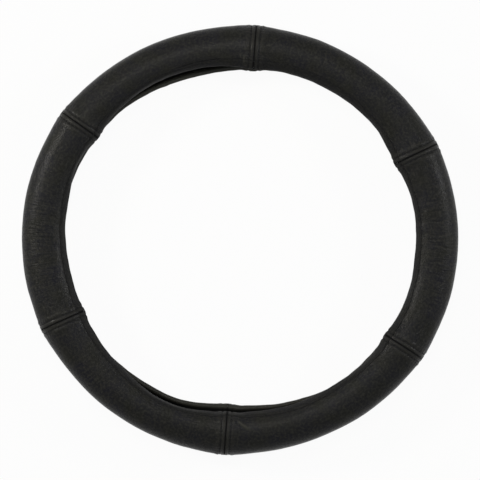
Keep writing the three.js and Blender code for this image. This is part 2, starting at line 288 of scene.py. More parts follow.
def seam_relief(turn, offset):
    """Height over the even leather beside a seam, without seam_rise."""
    away = np.abs(offset)
    way = millimetres_of(turn)
    side = np.where(offset > 0, 11, 17)  # the two sides of a seam read other noise
    relief = rounded_edge(turn, away) + WELT_HEIGHT * groove(away - WELT_AT, WELT_HALF_WIDTH)
    row = groove(away - TOP_STITCH_OFFSET, ROW_HALF_WIDTH)
    relief -= row * (ROW_DEPTH + HOLE_DEPTH * stitch_hole(way))
    uneven = soft_noise(way / 6, np.full_like(way, 3.0) + side, seed=5)
    pad = groove(away - PAD_AT, PAD_HALF_WIDTH)
    relief += (PAD_HEIGHT + PAD_UNEVENNESS * uneven) * pad
    wander = PUCKER_WANDER * soft_noise(way / 9, away / 6 + side, seed=6)
    pucker = np.cos(2 * np.pi * way / STITCH_PITCH + wander)
    relief -= PUCKER_HEIGHT * pucker * swelling(away, PUCKER_START, PUCKER_FULL, PUCKER_FADE)
    folds = soft_noise(way / 5.5 + side, away / 16 + side, seed=8)
    relief += FOLD_HEIGHT * folds * swelling(away, FOLD_START, FOLD_FULL, FOLD_FADE)
    return relief


print("relief in a stitch hole:", seam_relief(np.zeros(1), np.full(1, TOP_STITCH_OFFSET)), "mm")


# %% Relief along the hems
HEM_PULL, HEM_PULL_UNEVENNESS = 0.75, 0.35
HEM_ROLL_AT, HEM_ROLL_HALF_WIDTH, HEM_ROLL_HEIGHT = 2.6, 1.5, 0.16
GATHER_HEIGHT, GATHER_FADE = 0.24, 6
CROWDING_HEIGHT, CROWDING_START, CROWDING_FULL = 0.22, 95, 140


def hem_relief(turn, bearing):
    """Height over the even leather along the hem stitching of both lips."""
    past = HEM_STITCH_IN - inwards_of(turn)
    way = np.radians(bearing) * RING_RADIUS
    pulled = HEM_PULL + HEM_PULL_UNEVENNESS * soft_noise(way / 18, past / 40, seed=22)
    row = groove(past, ROW_HALF_WIDTH) * (HEM_ROW_DEPTH + HOLE_DEPTH * stitch_hole(way))
    relief = -row * pulled + HEM_ROLL_HEIGHT * groove(past - HEM_ROLL_AT, HEM_ROLL_HALF_WIDTH)
    gathers = soft_noise(way / 4.4, past / 14, seed=21)
    return relief + GATHER_HEIGHT * gathers * np.exp(-np.abs(past) / GATHER_FADE)


def crowding(turn, bearing):
    """Gathers that run round the inner side, where the leather has too much length."""
    way = np.radians(bearing) * RING_RADIUS
    inner_side = smooth_step(CROWDING_START, CROWDING_FULL, np.abs(turn))
    return CROWDING_HEIGHT * inner_side * soft_noise(way / 7.5, turn / 45, seed=31)


hem_row_turn = FRONT_LIP_TURN - degrees_of(HEM_STITCH_IN)
print("relief in the hem row:", hem_relief(np.array([hem_row_turn]), np.zeros(1)), "mm")


# %% Slight unevenness everywhere: (height, length along and across in mm, seed)
HILLS = [(0.30, 34, 22, 41), (0.12, 13, 12, 42), (0.05, 4.2, 7, 43)]
UNEVEN_START, UNEVEN_FULL = 2.5, 9

# The few creases: (bearing, turn, half length in mm, lean in degrees, depth in mm).
DEEP_CREASES = [(179.8, 107, 5.0, 41, 0.85), (178.4, 100, 4.0, 41, 0.50),
                (2.1, 130, 4.5, 88, 0.55), (0.9, 118, 4.0, 86, 0.35)]
CREASES = DEEP_CREASES + [(64, 140, 4.0, 80, 0.15), (330, 62, 9, -20, 0.14),
                          (222, 70, 8, 25, 0.12), (100, 88, 10, 12, 0.12),
                          (40, 96, 9, -14, 0.12)]
CREASE_HALF_WIDTH = 0.9
CREST_AT, CREST_HALF_WIDTH, CREST_SHARE = 1.8, 1.1, 0.8


def along_and_across(turn, bearing, middle, turned, lean):
    """Millimetres along and across a crease at that bearing, turn and lean."""
    x = np.radians(turned_from(bearing, middle)) * RING_RADIUS
    y = millimetres_of(turn - turned)
    cos, sin = math.cos(math.radians(lean)), math.sin(math.radians(lean))
    return x * cos + y * sin, y * cos - x * sin


def unevenness(turn, bearing):
    way, height = np.radians(bearing) * RING_RADIUS, millimetres_of(turn)
    relief = sum(rise * soft_noise(way / length, height / width, seed)
                 for rise, length, width, seed in HILLS)
    for middle, turned, length, lean, depth in CREASES:
        along, across = along_and_across(turn, bearing, middle, turned, lean)
        crest = CREST_SHARE * groove(across - CREST_AT, CREST_HALF_WIDTH)
        relief -= depth * (groove(across, CREASE_HALF_WIDTH) - crest) * groove(along, length)
    return relief


def leather_relief(turn, bearing):
    """All relief of the skin, and the rise at the seams, in mm."""
    seam, offset = nearest_seam(bearing)
    away = np.abs(offset)
    beyond = smooth_step(UNEVEN_START, UNEVEN_FULL, away)
    relief = seam_relief(turn, offset) + hem_relief(turn, bearing)
    relief += beyond * (crowding(turn, bearing) + unevenness(turn, bearing))
    return relief + seam_rise(turn, away)


on_first_welt = bearing_past(SEAM_BEARINGS[0], np.array([WELT_AT]))
print("relief on a welt:", leather_relief(np.array([60.0]), on_first_welt), "mm")

# %% [markdown]
# ## Cut the leather flat
# A maker cuts each panel flat, about as long as the ring is from seam to seam and as wide
# as the section's way round with both hems. So each panel starts as a grid on the table.
# Its lines lie closer where the sewing needs detail. The flat place of every point is
# kept as the UV map, so that the grain later follows the leather and isn't stretched.

# %% Where the lines of the grid lie
LINE_SAMPLES = 4000
TIP_WAY = math.pi * WALL / 2
FRONT_WAY = float(millimetres_of(FRONT_LIP_TURN)) - WALL / 2
BACK_WAY = float(millimetres_of(BACK_LIP_TURN)) - WALL / 2
HEM_WAY = (HEM_TURNED_IN - WALL / 2) * (GRIP_HALF_WIDTH - WALL) / GRIP_HALF_WIDTH
FLAT_WIDTH = 2 * HEM_WAY + 2 * TIP_WAY + FRONT_WAY + BACK_WAY
FRONT_STITCH = HEM_WAY + TIP_WAY + HEM_STITCH_IN - WALL / 2
BACK_STITCH = FLAT_WIDTH - FRONT_STITCH

# How far apart the lines lie, each as (up to this far from the sewing, step), in mm.
ACROSS_STEPS, ACROSS_STEP_ELSEWHERE = [(2.2, 0.42), (9, 0.75)], 0.95
ALONG_STEPS, ALONG_STEP_ELSEWHERE = [(1.9, 0.24), (9, 0.42), (17, 0.8)], 1.45


def step_near(near, steps, elsewhere):
    """The step of the first row whose distance a place is nearer than, or elsewhere."""
    step = np.full_like(near, elsewhere)
    for reach, size in reversed(steps):
        step = np.where(near < reach, size, step)
    return step


def lines_along(length, step_at):
    """Positions from 0 to length, as far apart as step_at says."""
    fine = np.linspace(0, length, LINE_SAMPLES)
    steps = np.diff(fine) / step_at((fine[1:] + fine[:-1]) / 2)
    counted = np.concatenate([[0], np.cumsum(steps)])
    count = int(round(counted[-1]))
    return np.interp(np.linspace(0, counted[-1], count + 1), counted, fine)


def step_across(way):
    near = np.minimum(np.abs(way - FRONT_STITCH), np.abs(way - BACK_STITCH))
    return step_near(near, ACROSS_STEPS, ACROSS_STEP_ELSEWHERE)


ACROSS_LINES = lines_along(FLAT_WIDTH, step_across)
print("a panel is cut", round(FLAT_WIDTH, 1), "mm wide, with", len(ACROSS_LINES), "lines")


# %% The lines along one panel, from seam to seam
def panel_angle(index):
    """The angle in radians from a panel's first seam to its second."""
    first, second = SEAM_BEARINGS[index], SEAM_BEARINGS[(index + 1) % len(SEAM_BEARINGS)]
    return math.radians((second - first) % 360)


def panel_lines(index):
    length = panel_angle(index) * RING_RADIUS - 2 * SEAM_HALF_GAP

    def step_along(way):
        near = np.minimum(way, length - way)
        return step_near(near, ALONG_STEPS, ALONG_STEP_ELSEWHERE)

    return SEAM_HALF_GAP + lines_along(length, step_along)


print("the first panel has", len(panel_lines(0)), "lines along the ring")


# %% Cut one panel, with its thickness
UV_UNITS_PER_METRE = 10


def select_nothing():
    if bpy.context.object and bpy.context.object.mode != "OBJECT":
        bpy.ops.object.mode_set(mode="OBJECT")
    bpy.ops.object.select_all(action="DESELECT")


def points_of(piece):
    places = np.empty(len(piece.data.vertices) * 3)
    piece.data.vertices.foreach_get("co", places)
    return places.reshape(-1, 3)


def move_points(piece, places):
    piece.data.vertices.foreach_set("co", np.ascontiguousarray(places).ravel())
    piece.data.update()


def keep_on_points(piece, name, values):
    """Keep one number for each point, which the materials read as an attribute."""
    layer = piece.data.attributes.new(name, "FLOAT", "POINT")
    layer.data.foreach_set("value", values.astype(np.float32))


def cut_flat(name, along, across, thickness):
    """A flat sheet with its lines at those places in mm, x along the ring, y across it."""
    select_nothing()
    bpy.ops.mesh.primitive_grid_add(x_subdivisions=len(along) - 1,
                                    y_subdivisions=len(across) - 1, size=1)
    piece = bpy.context.object
    piece.name = piece.data.name = name
    grid = points_of(piece)
    column = np.rint((grid[:, 0] + 0.5) * (len(along) - 1)).astype(int)
    row = np.rint((grid[:, 1] + 0.5) * (len(across) - 1)).astype(int)
    move_points(piece, np.column_stack([along[column], across[row], 0 * grid[:, 0]]) / 1000)
    keep_flat_place(piece)
    solidify = piece.modifiers.new("thickness", "SOLIDIFY")
    solidify.thickness = thickness / 1000
    solidify.offset = -1
    bpy.ops.object.modifier_apply(modifier="thickness")
    return piece


def keep_flat_place(piece):
    """The UV map holds the flat place, one unit for 100 mm."""
    places = points_of(piece)
    corner = np.empty(len(piece.data.loops), dtype=int)
    piece.data.loops.foreach_get("vertex_index", corner)
    flat = piece.data.uv_layers[0]
    flat.name = "flat"
    flat.data.foreach_set("uv", (places[corner, :2] * UV_UNITS_PER_METRE).ravel())


print("a sheet is", LEATHER_THICKNESS, "mm thick")

# %% [markdown]
# ## Wrap it round the ring
# Across the panel the leather runs from the hem inside the front lip, round the lip,
# over the whole outside, and round the back lip to its other hem. Depth is measured
# from the outside in: the flat sheet's upper side becomes the grain side.

# %% From the way across the sheet to turn and depth
def round_section(way, below):
    """way is mm across the sheet from the front hem, below is mm under its grain side."""
    from_front = way < FLAT_WIDTH / 2
    lip_turn = np.where(from_front, FRONT_LIP_TURN, BACK_LIP_TURN)
    outer_way = np.where(from_front, FRONT_WAY, BACK_WAY)
    inwards = np.where(from_front, way, FLAT_WIDTH - way)
    tip_turn = lip_turn - degrees_of(WALL / 2)
    in_hem = inwards < HEM_WAY
    in_tip = ~in_hem & (inwards < HEM_WAY + TIP_WAY)
    angle = np.pi * (1 - (inwards - HEM_WAY) / TIP_WAY)
    hem_share = (HEM_WAY - inwards) / HEM_WAY
    hem_turn = tip_turn - degrees_of(HEM_TURNED_IN - WALL / 2) * hem_share
    round_turn = tip_turn + degrees_of((WALL / 2 - below) * np.sin(angle))
    round_depth = WALL / 2 - (WALL / 2 - below) * np.cos(angle)
    skin_turn = tip_turn * (1 - (inwards - HEM_WAY - TIP_WAY) / outer_way)
    size = np.where(in_hem, hem_turn, np.where(in_tip, round_turn, skin_turn))
    depth = np.where(in_hem, WALL - below, np.where(in_tip, round_depth, below))
    return np.where(from_front, size, -size), depth, in_hem, in_tip, angle


half_way_turn = round_section(np.array([HEM_WAY + TIP_WAY + FRONT_WAY / 2]), np.zeros(1))[0]
print("half way over the front the turn is", half_way_turn)


# %% Masks for wear, painted light and painted shade: places beside a seam as (mm from it, half width, amount)
WORN_STRIPS = [(2.2, 1.1, 1), (6.6, 1.8, 0.5)]
# Painted shade in the seam's middle and along both rows of top stitching.
PAINTED_SHADE_STRIPS = [(0, 0.85, 1), (TOP_STITCH_OFFSET, 0.6, 0.2)]
HEM_ROLL_WORN_AT, HEM_ROLL_WORN_HALF_WIDTH, HEM_ROLL_WORN = 3, 2, 0.1
# Painted shade along the hem's row of stitching.
HEM_ROW_SHADE, HEM_ROW_SHADE_UNEVENNESS, HEM_ROW_SHADE_HALF_WIDTH = 0.5, 0.3, 0.65
# Painted shade on the front lip inside its hem row.
FRONT_LIP_SHADE, FRONT_LIP_SHADE_FULL = 0.4, 1.5
# Painted highlight on the crests of the deepest creases.
CREST_HIGHLIGHT, CREST_HIGHLIGHT_HALF_WIDTH, CREST_PAINTED_PALE = 5, 0.8, 0.12
# Painted light on the back lip's edge, with a paler painted light on it that is strongest at the
# top of the ring.
BACK_LIP_PAINTED_LIGHT, BACK_LIP_PAINTED_PALE, BACK_LIP_PAINTED_PALE_TOP = 1.4, 0.1, 0.9
STRONGEST_MASK = 1.5

# How far in, in mm, the painted light on the back lip's edge ends and the painted shade of the
# mouth begins.
LIT_WHOLE, LIT_END = 3.2, 4.8
DARK_START, DARK_WHOLE = 3, 4.6

# Places round the ring, as (bearing, spread, amount).
MOUTHS = [(185, 45, 1.3), (329, 18, 1.3)]
TOP_OF_BACK_LIP = [(345, 48, 1)]
WRINKLED_PLACES = [(92, 26, 1.0), (272, 30, 0.9), (225, 22, 0.5), (30, 20, 0.4)]
WRINKLED_AT_LEAST = 0.12


def strips_beside_seam(strips, away):
    return sum(amount * groove(away - middle, half_width)
               for middle, half_width, amount in strips)


def painted_crest_highlight(turn, bearing):
    """Painted highlight on the crests of the deepest creases."""
    painted_highlight = np.zeros_like(turn)
    for middle, turned, length, lean, depth in DEEP_CREASES:
        along, across = along_and_across(turn, bearing, middle, turned, lean)
        crest = groove(across - CREST_AT, CREST_HIGHLIGHT_HALF_WIDTH)
        painted_highlight += CREST_HIGHLIGHT * depth * crest * groove(along, length)
    return painted_highlight


def wrinkled(turn, bearing):
    """1 where the bent leather shows fine wrinkles across the ring."""
    reach = smooth_step(150, 100, turn) * smooth_step(-60, 0, turn)
    places = np.clip(hump_sum(WRINKLED_PLACES, bearing), 0, 1)
    return WRINKLED_AT_LEAST + (1 - WRINKLED_AT_LEAST) * places * reach


def keep_masks(piece, turn, bearing, on_back_lip, in_hem):
    """Masks on the points: wear with painted light, painted shade, cross wrinkles and paler
    painted light.
    """
    seam, offset = nearest_seam(bearing)
    away = np.abs(offset)
    inwards = inwards_of(turn)
    past = HEM_STITCH_IN - inwards
    hidden = inwards + hump_sum(MOUTHS, bearing)
    # Painted highlight on the crests of the deepest creases.
    crest_highlights = painted_crest_highlight(turn, bearing)
    # Painted light on the back lip's edge, which lies in the shade of the channel.
    lit_lip = on_back_lip * smooth_step(LIT_END, LIT_WHOLE, hidden)
    hem_roll = HEM_ROLL_WORN * groove(past - HEM_ROLL_WORN_AT, HEM_ROLL_WORN_HALF_WIDTH)
    # Painted shade along the hem's row of stitching, uneven along the ring.
    uneven = HEM_ROW_SHADE_UNEVENNESS * soft_noise(bearing * 0.9, past / 40, seed=24)
    hem_row_shade = (HEM_ROW_SHADE + uneven) * groove(past, HEM_ROW_SHADE_HALF_WIDTH)
    # Painted shade on the turned-in back hem, deep in the channel between the lips.
    mouth_shade = in_hem * smooth_step(DARK_START, DARK_WHOLE, hidden)
    # Painted shade on the front lip inside the hem row.
    front_lip = FRONT_LIP_SHADE * smooth_step(0, FRONT_LIP_SHADE_FULL, past) * (turn > 0)
    # Paler painted light on the back lip, strongest at the top of the ring.
    lip_painted_pale = BACK_LIP_PAINTED_PALE + BACK_LIP_PAINTED_PALE_TOP * hump_sum(TOP_OF_BACK_LIP, bearing)
    # Wear on the welts and the hem's roll with painted light and painted highlight; painted shade;
    # cross wrinkles; paler painted light.
    masks = {
        "wear_and_painted_light": strips_beside_seam(WORN_STRIPS, away) + hem_roll + crest_highlights
                + BACK_LIP_PAINTED_LIGHT * lit_lip,
        "painted_shade": strips_beside_seam(PAINTED_SHADE_STRIPS, away) + hem_row_shade + mouth_shade + front_lip,
        "wrinkled": wrinkled(turn, bearing),
        "painted_light": lit_lip * lip_painted_pale + CREST_PAINTED_PALE * crest_highlights,
    }
    for name, values in masks.items():
        keep_on_points(piece, name, np.clip(values, 0, STRONGEST_MASK))


print("most wrinkled:", wrinkled(np.full(1, 50.0), np.full(1, 92.0)))


# %% Wrap one panel
SEAM_GAP_REACH = 2
SEAM_CLOSES_OVER = 3
RELIEF_WHOLE, RELIEF_END = 0.3, math.pi * 0.86
DEEPEST_SHARE = 0.95


def kept_back(turn, bearing):
    """The flesh side stops a little short of the seam, as far as the joining thread runs."""
    seam, offset = nearest_seam(bearing)
    away = np.abs(offset)
    share = np.clip((away - SEAM_HALF_GAP) / (SEAM_GAP_REACH - SEAM_HALF_GAP), 0, 1)
    sewn = smooth_step(HEM_STITCH_IN - SEAM_CLOSES_OVER, HEM_STITCH_IN, inwards_of(turn))
    half_gap = SEAM_HALF_GAP + (SEAM_HALF_GAP_INSIDE - SEAM_HALF_GAP) * sewn
    kept = np.where(away < SEAM_GAP_REACH, half_gap + share * (SEAM_GAP_REACH - half_gap), away)
    return bearing_past(seam, np.sign(offset) * kept)


def wrap(piece, first_seam):
    """Bring a flat panel onto the ring. The relief dies away round the lip's folded edge."""
    flat = points_of(piece) * 1000
    bearing = bearing_past(first_seam, flat[:, 0])
    below = -flat[:, 2]
    outside = below < LEATHER_THICKNESS / 2
    turn, depth, in_hem, in_tip, angle = round_section(flat[:, 1], below)
    bearing = np.where(outside, bearing, kept_back(turn, bearing))
    tip_share = smooth_step(RELIEF_END, RELIEF_WHOLE, angle)
    skin = np.where(in_hem, 0, np.where(in_tip, tip_share, 1))
    lift = np.where(outside, leather_relief(turn, bearing) * skin, 0)
    lift = np.maximum(lift, -DEEPEST_SHARE * LEATHER_THICKNESS)
    move_points(piece, on_ring(turn, depth, bearing, lift))
    keep_masks(piece, turn, bearing, (in_tip | in_hem) & (turn < 0), in_hem)


print("the flesh side stops", SEAM_HALF_GAP_INSIDE, "mm short of a seam")

# %% Make the six panels
SMOOTH_ANGLE = math.radians(50)
leather_panels = []
for index, first_seam in enumerate(SEAM_BEARINGS):
    along = panel_lines(index)
    panel = cut_flat(f"leather_{index + 1}", along, ACROSS_LINES, LEATHER_THICKNESS)
    wrap(panel, first_seam)
    bpy.ops.object.shade_smooth_by_angle(angle=SMOOTH_ANGLE)
    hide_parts(f"leather_panel_{index + 1}")
    leather_panels.append(panel)
    triangles = sum(len(face.vertices) - 2 for face in panel.data.polygons)
    print(panel.name, len(along), "lines along,", triangles, "triangles")

# %% [markdown]
# ## The rubber ring
# The ring inside is moulded in one piece. Its section is drawn once and spun round the
# wheel's axis, as the mould is turned, and then takes the same uneven lips and bulges as
# the leather that is sewn to it.

# %% Draw the section of the rubber
OUTER_POINTS, INNER_POINTS, RING_STEPS = 60, 48, 240
LIP_BLEND_TURN, LIP_EASE_TURN, LIP_EASE_DEPTH = 3, 1, 0.5


def rubber_outline():
    """Turn and depth round the rubber's section, with rounded lips."""
    front = FRONT_LIP_TURN - float(degrees_of(RUBBER_OUTSIDE))
    back = BACK_LIP_TURN - float(degrees_of(RUBBER_OUTSIDE))
    front_end, back_end = front - LIP_BLEND_TURN, LIP_BLEND_TURN - back
    outer = [(turn, RUBBER_OUTSIDE) for turn in np.linspace(front_end, back_end, OUTER_POINTS)]
    inner = [(turn, RUBBER_INSIDE) for turn in np.linspace(back_end, front_end, INNER_POINTS)]
    middle = (RUBBER_OUTSIDE + RUBBER_INSIDE) / 2
    shallow, deep = middle - LIP_EASE_DEPTH, middle + LIP_EASE_DEPTH
    back_lip = [(LIP_EASE_TURN - back, shallow), (-back, middle), (LIP_EASE_TURN - back, deep)]
    front_lip = [(front - LIP_EASE_TURN, deep), (front, middle), (front - LIP_EASE_TURN, shallow)]
    return outer + back_lip + inner + front_lip


outline = rubber_outline()
turns = np.radians([turn for turn, depth in outline])
reach = GRIP_HALF_WIDTH - np.array([depth for turn, depth in outline])
section = np.column_stack([RING_RADIUS + reach * np.cos(turns), 0 * turns, reach * np.sin(turns)])
print("section of the rubber:", len(outline), "points")

# %% Spin it
select_nothing()
bpy.ops.mesh.primitive_circle_add(vertices=len(outline), radius=0.01)
rubber_ring = bpy.context.object
rubber_ring.name = rubber_ring.data.name = "rubber_ring"
move_points(rubber_ring, section / 1000)
bpy.ops.object.mode_set(mode="EDIT")
bpy.ops.mesh.select_all(action="SELECT")
bpy.ops.mesh.spin(steps=RING_STEPS, angle=math.tau, center=(0, 0, 0), axis=(0, 0, 1),
                  use_auto_merge=True)
bpy.ops.mesh.select_all(action="SELECT")
bpy.ops.mesh.remove_doubles(threshold=0.00001)
bpy.ops.mesh.normals_make_consistent(inside=False)
bpy.ops.object.mode_set(mode="OBJECT")
print("spun ring:", len(rubber_ring.data.polygons), "faces")

# %% Give the ring the shape of the sewn cover
spun = points_of(rubber_ring) * 1000
way_out = np.hypot(spun[:, 0], spun[:, 1]) - RING_RADIUS
ring_turn = np.degrees(np.arctan2(spun[:, 2], way_out))
ring_depth = GRIP_HALF_WIDTH - np.hypot(way_out, spun[:, 2])
ring_bearing = np.degrees(np.arctan2(spun[:, 0], spun[:, 1])) % 360
move_points(rubber_ring, on_ring(ring_turn, ring_depth, ring_bearing))
keep_on_points(rubber_ring, "turn", ring_turn / 180)
bpy.ops.object.shade_smooth_by_angle(angle=SMOOTH_ANGLE)
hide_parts("inner_ring")
print("rubber ring box:", np.round(points_of(rubber_ring).min(0), 4),
      np.round(points_of(rubber_ring).max(0), 4))

# %% [markdown]
# ## The threads
# A lockstitch shows as a row of short strokes. The thread comes up through a hole, lies on
# the leather for one stitch and goes down through the next hole. Each row is one curve
# through such points. The curve is given a round section and is then made a mesh.

# %% A row of stitches as a curve
THREAD_RADIUS = 0.32
STITCH_SHAPE = [(0.0, -0.75), (0.09, -0.2), (0.22, 0.08), (0.5, 0.16), (0.78, 0.08), (0.91, -0.2)]


def stitch_row(name, places, closed, radius=THREAD_RADIUS):
    """One thread as a mesh. Where the cover lies on the floor, the thread stays above it."""
    places[:, 2] = np.maximum(places[:, 2], radius / 1000)
    select_nothing()
    bpy.ops.curve.primitive_nurbs_path_add(radius=0.01)
    row = bpy.context.object
    row.name = name
    row.data.splines.clear()
    line = row.data.splines.new("POLY")
    line.points.add(len(places) - 1)
    line.points.foreach_set("co", np.column_stack([places, np.ones(len(places))]).ravel())
    line.use_cyclic_u = closed
    row.data.bevel_depth = radius / 1000
    row.data.bevel_resolution = 1
    row.data.use_fill_caps = not closed
    bpy.ops.object.convert(target="MESH")
    row = bpy.context.object
    row.data.name = name
    bpy.ops.object.mode_set(mode="EDIT")
    bpy.ops.mesh.select_all(action="SELECT")
    bpy.ops.mesh.remove_doubles(threshold=0.000001)
    bpy.ops.mesh.normals_make_consistent(inside=False)
    bpy.ops.object.mode_set(mode="OBJECT")
    bpy.ops.object.shade_smooth()
    return row


def stitches(start, end):
    """The way along a row in mm, and how high the thread's middle stands over the skin."""
    count = int(round((end - start) / STITCH_PITCH))
    pitch = (end - start) / count
    way = [start + pitch * (stitch + share)
           for stitch in range(count) for share, height in STITCH_SHAPE]
    up = [height for stitch in range(count) for share, height in STITCH_SHAPE]
    return np.array(way), np.array(up)


print("three stitches have", len(stitches(0, 3 * STITCH_PITCH)[0]), "points")

# %% The top stitching on both sides of each seam
SHORT_OF_HEM_ROW = 1.6
ROW_START = -float(millimetres_of(BACK_LIP_TURN)) + HEM_STITCH_IN + SHORT_OF_HEM_ROW
ROW_END = float(millimetres_of(FRONT_LIP_TURN)) - HEM_STITCH_IN - SHORT_OF_HEM_ROW
FIRST_HOLE = STITCH_PITCH * math.ceil(ROW_START / STITCH_PITCH)
LAST_HOLE = STITCH_PITCH * math.floor(ROW_END / STITCH_PITCH)


def skin_height(turn, bearing):
    """The leather's height over the even section under a thread, without the stitch holes."""
    seam, offset = nearest_seam(bearing)
    row = groove(np.abs(offset) - TOP_STITCH_OFFSET, ROW_HALF_WIDTH)
    return leather_relief(turn, bearing) + HOLE_DEPTH * row * stitch_hole(millimetres_of(turn))


sewing = []
for index, seam in enumerate(SEAM_BEARINGS):
    for side, word in ((-1, "before"), (1, "after")):
        way, up = stitches(FIRST_HOLE, LAST_HOLE)
        turn = degrees_of(way)
        bearing = np.full_like(turn, bearing_past(seam, side * TOP_STITCH_OFFSET))
        places = on_ring(turn, 0 * turn, bearing, skin_height(turn, bearing) + up)
        row = stitch_row(f"top_stitching_{index + 1}_{word}", places, closed=False)
        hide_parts(f"top_thread_{index + 1}_{word}")
        sewing.append(row)
print(len(sewing), "rows of top stitching,", len(sewing[0].data.polygons), "faces each")

# %% The thread deep in each seam
DEEP_THREAD_RADIUS, DEEP_THREAD_STEP = 0.22, 0.7
DEEP_THREAD_DEPTH, DEEP_THREAD_RISES, DEEP_THREAD_SWAYS = 0.55, 0.1, 0.05
for index, seam in enumerate(SEAM_BEARINGS):
    way = np.arange(ROW_START, ROW_END, DEEP_THREAD_STEP)
    turn, phase = degrees_of(way), 2 * np.pi * way / STITCH_PITCH
    bearing = bearing_past(seam, DEEP_THREAD_SWAYS * np.sin(phase))
    depth = DEEP_THREAD_DEPTH - DEEP_THREAD_RISES * np.cos(phase)
    row = stitch_row(f"seam_stitching_{index + 1}", on_ring(turn, depth, bearing), closed=False,
                     radius=DEEP_THREAD_RADIUS)
    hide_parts(f"seam_thread_{index + 1}")
    sewing.append(row)
print("a seam's thread has", len(way), "points")

# %% The stitching along both lips, which bridges the seams
BRIDGE_HALF_WIDTH = 2
for word, side, lip_turn in (("front", 1, FRONT_LIP_TURN), ("back", -1, BACK_LIP_TURN)):
    way, up = stitches(0, math.tau * RING_RADIUS)
    bearing = np.degrees(way / RING_RADIUS)
    turn = np.full_like(way, side * (lip_turn - float(degrees_of(HEM_STITCH_IN))))
    seam, offset = nearest_seam(bearing)
    clear = np.where(offset > 0, 1, -1) * np.maximum(np.abs(offset), BRIDGE_HALF_WIDTH)
    beside = bearing_past(seam, clear)
    holes = HOLE_DEPTH * stitch_hole(np.radians(beside) * RING_RADIUS)
    places = on_ring(turn, 0 * turn, bearing, leather_relief(turn, beside) + holes + up)
    row = stitch_row(f"hem_stitching_{word}", places, closed=True)
    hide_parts(f"hem_thread_{word}")
    sewing.append(row)
print(len(sewing), "rows of stitching in all")

# %% [markdown]
# ## Finishes
# Black finished leather is dark but never flat: it has a pebbled grain, pores, fine
# wrinkles where it is bent and a slightly rubbed look on the welts. Painted shade darkens
# the seams, the rows of stitching, the front lip and the channel inside the lips, and painted
# light brightens the back lip's edge and the crests of the deepest creases. One group makes
# the grain of the leather. The rubber is speckled and finely ribbed, and the waxed thread
# shows its twist.

# %% Helpers for materials
def feed(tree, socket, value):
    """Link a socket to another node's output, or give it a plain value."""
    if isinstance(value, bpy.types.NodeSocket):
        tree.links.new(value, socket)
    else:
        socket.default_value = value


def add_node(tree, kind, inputs=(), **settings):
    """A new node with its settings, and its inputs fed by name or number."""
    node = tree.nodes.new(kind)
    for key, value in settings.items():
        setattr(node, key, value)
    for key, value in dict(inputs).items():
        feed(tree, node.inputs[key], value)
    return node


def calculate(tree, operation, *values):
    return add_node(tree, "ShaderNodeMath", enumerate(values), operation=operation).outputs[0]


def noise(tree, place, scale, detail=2, roughness=0.5):
    inputs = {"Vector": place, "Scale": scale, "Detail": detail, "Roughness": roughness}
    return add_node(tree, "ShaderNodeTexNoise", inputs).outputs


def mapped(tree, value, low, high, to_low=0, to_high=1, curve="LINEAR"):
    inputs = {"Value": value, "From Min": low, "From Max": high,
              "To Min": to_low, "To Max": to_high}
    return add_node(tree, "ShaderNodeMapRange", inputs, interpolation_type=curve).outputs[0]


def blended(tree, first, second, share):
    """The first colour where the share is 0, the second where it is 1."""
    inputs = {"A": first, "B": second, "Factor": share}
    return add_node(tree, "ShaderNodeMix", inputs, data_type="RGBA").outputs["Result"]


def bumped(tree, height, distance, strength):
    inputs = {"Height": height, "Distance": distance, "Strength": strength}
    return add_node(tree, "ShaderNodeBump", inputs).outputs[0]


def attribute(tree, name):
    return add_node(tree, "ShaderNodeAttribute", attribute_name=name).outputs["Fac"]


def new_material(name):
    material = bpy.data.materials.new(name)
    material.use_nodes = True
    return material, material.node_tree, material.node_tree.nodes["Principled BSDF"].inputs


def finish_with(pieces, material):
    for piece in pieces:
        piece.data.materials.clear()
        piece.data.materials.append(material)
    print(material.name, "on", len(pieces), "pieces")


# %% The grain of leather as a group
WARP_SCALE, WARP_REACH = 40, (0.006, 0.006, 0)
PORE_SCALE, MOTTLE_SCALE, PATCH_SCALE = 260, 44, 5
WRINKLE_STRETCH = (56, 8, 1)
VALLEY_WIDTH = 0.16
VALLEY_HEIGHT, PORE_HEIGHT, MOTTLE_HEIGHT, WRINKLE_HEIGHT = 0.45, 0.4, 1.1, -3.5
WRINKLE_IN_MOTTLE = 0.75


def weighted(tree, *terms):
    """The sum of terms, each given as (value, weight)."""
    parts = [calculate(tree, "MULTIPLY", value, weight) for value, weight in terms]
    total = parts[0]
    for part in parts[1:]:
        total = calculate(tree, "ADD", total, part)
    return total


